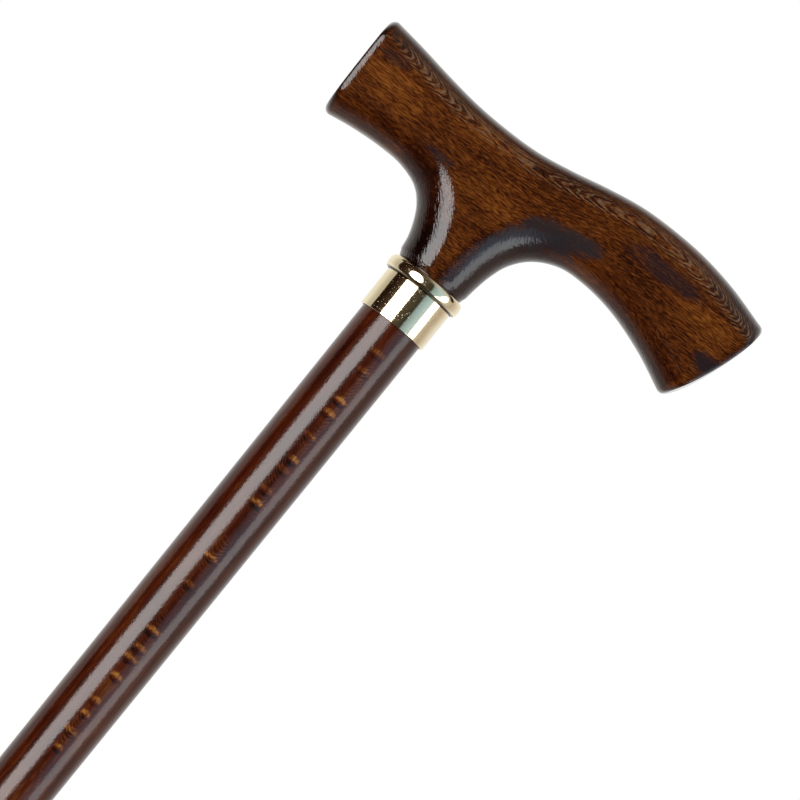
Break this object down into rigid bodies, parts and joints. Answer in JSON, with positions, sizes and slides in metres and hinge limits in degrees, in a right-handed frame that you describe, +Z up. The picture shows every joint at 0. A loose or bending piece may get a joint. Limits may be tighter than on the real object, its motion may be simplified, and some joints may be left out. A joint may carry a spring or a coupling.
{
  "type": "walking stick",
  "caption": "Straight tapered wooden walking stick with a crutch-shaped handle, a polished collar below it and a rubber ferrule at its tip.",
  "frame": {"origin": "centre of the ferrule's tread, where the stick meets the ground", "axes": "+Z up along the shaft to the handle, +X toward the long palm arm of the handle, +Y across the handle's thickness"},
  "size_m": [0.1502, 0.036, 0.92],
  "materials": {
    "handle_wood": "brown stain under satin lacquer",
    "shaft_wood": "red-brown stain under glossy lacquer",
    "collar_brass": "polished",
    "screw_steel": "rolled thread, bright",
    "ferrule_rubber": "moulded, matt black",
    "washer_steel": "stamped, bright"
  },
  "bodies": {
    "stick": {"handle": "handle_wood", "collar": "collar_brass", "joint_screw": "screw_steel", "shaft": "shaft_wood"},
    "tip": {"ferrule": "ferrule_rubber", "ferrule_washer": "washer_steel"}
  },
  "joints": [
    {"name": "ferrule_pull", "type": "slide", "parent": "stick", "child": "tip", "axis": [0, 0, -1], "range_m": [0, 0.036]}
  ]
}
